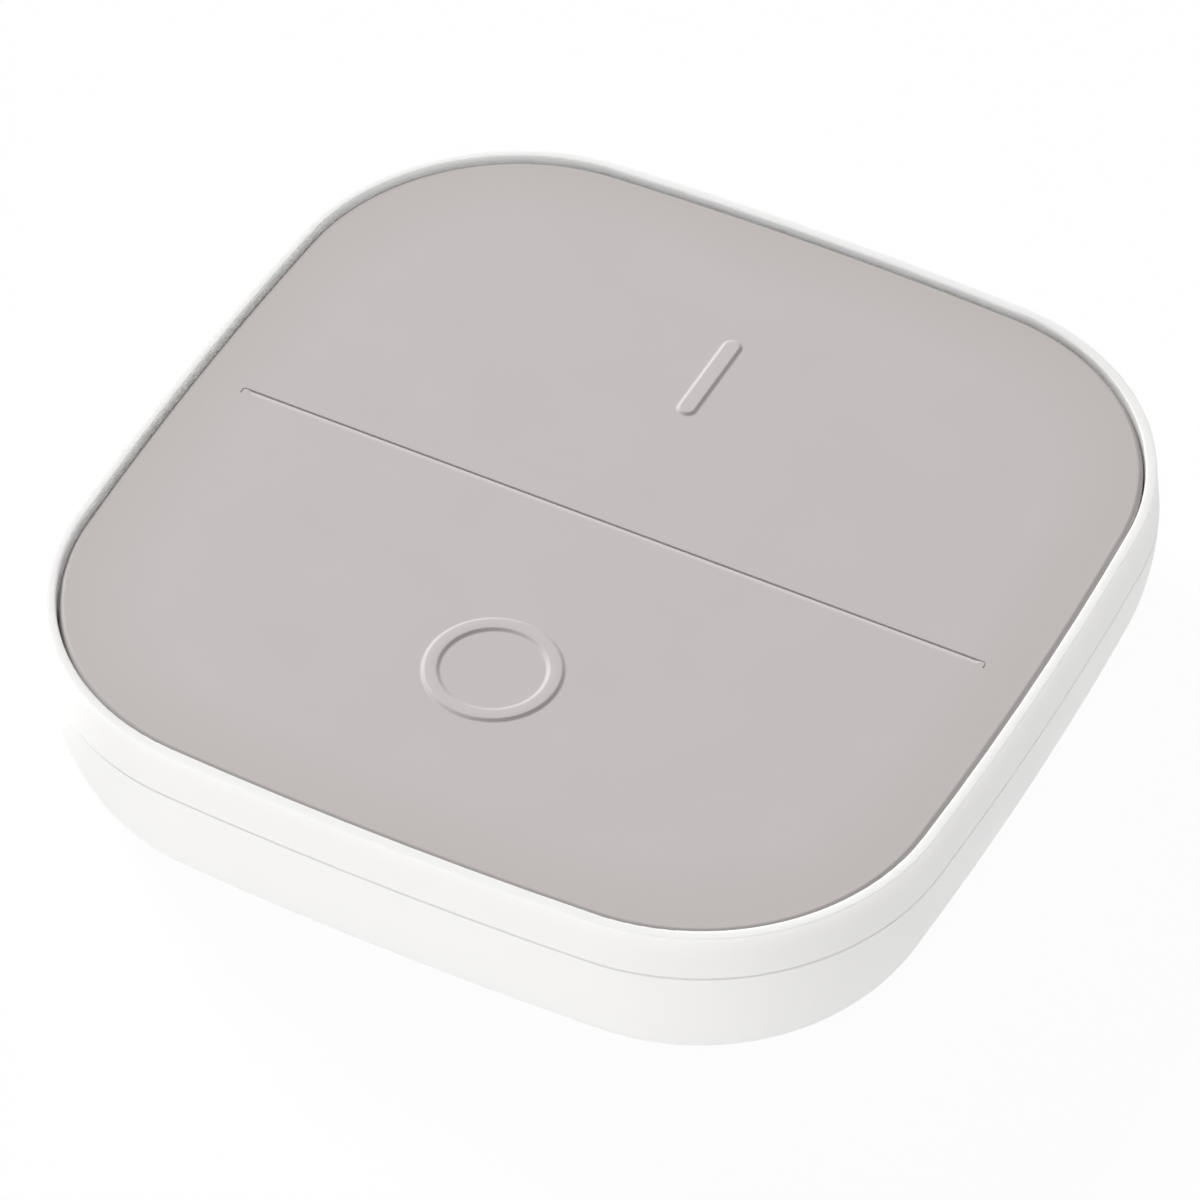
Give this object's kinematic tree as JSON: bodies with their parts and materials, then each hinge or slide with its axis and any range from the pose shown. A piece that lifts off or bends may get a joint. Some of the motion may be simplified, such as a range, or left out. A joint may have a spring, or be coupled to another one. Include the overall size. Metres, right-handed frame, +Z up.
{
  "type": "smart button",
  "caption": "Flat rounded-square wireless button with a rocking taupe face, marked with a ring and a bar across a fine groove, in a white two-shell housing.",
  "frame": {"origin": "on the table plane under the middle of the part, at the undersides of the feet", "axes": "+Z up out of the face, X along the groove, +Y towards the bar mark"},
  "size_m": [0.08, 0.08, 0.018],
  "materials": {
    "face_softtouch": "soft-touch matte",
    "housing_white": "satin",
    "door_white": "satin",
    "carrier_grey": "matte",
    "cell_sleeve": "glossy sleeve",
    "contact_nickel": "nickel plated",
    "board_green": "solder mask",
    "pad_gold": "gold plated",
    "dome_silicone": "matte",
    "pill_carbon": "matte",
    "radio_blue": "solder mask",
    "shield_tin": "satin",
    "antenna_copper": "bare copper",
    "chip_black": "matte",
    "coil_ferrite": "matte",
    "capacitor_tan": "matte",
    "crystal_can": "satin",
    "resistor_dark": "matte",
    "screw_steel": "zinc plated",
    "foot_rubber": "matte"
  },
  "bodies": {
    "housing": {"base_shell": "housing_white", "bezel_frame": "housing_white", "rubber_feet": "foot_rubber", "housing_screws": "screw_steel", "battery_cells": "cell_sleeve", "bridge_contact": "contact_nickel", "positive_contact": "contact_nickel", "negative_contact": "contact_nickel", "main_board": "board_green", "switch_pads": "pad_gold", "keypad_domes": "dome_silicone", "carbon_pills": "pill_carbon", "radio_board": "radio_blue", "radio_shield": "shield_tin", "radio_antenna": "antenna_copper", "controller_chip": "chip_black", "boost_inductor": "coil_ferrite", "buffer_capacitors": "capacitor_tan", "crystal": "crystal_can", "chip_resistors": "resistor_dark", "board_screws": "screw_steel"},
    "rocker": {"face_plate": "face_softtouch", "rocker_carrier": "carrier_grey"},
    "door": {"battery_door": "door_white"}
  },
  "joints": [
    {"name": "face_rock", "type": "hinge", "parent": "housing", "child": "rocker", "pos_m": [0, 0, 0.014], "axis": [1, 0, 0], "range_deg": [-0.8, 0.8], "stiffness_Nm_per_rad": 2, "deforming": ["keypad_domes"]},
    {"name": "door_hinge", "type": "hinge", "parent": "housing", "child": "door", "pos_m": [-0.0236, 0, 0.0013], "axis": [0, 1, 0], "range_deg": [0, 75]}
  ]
}
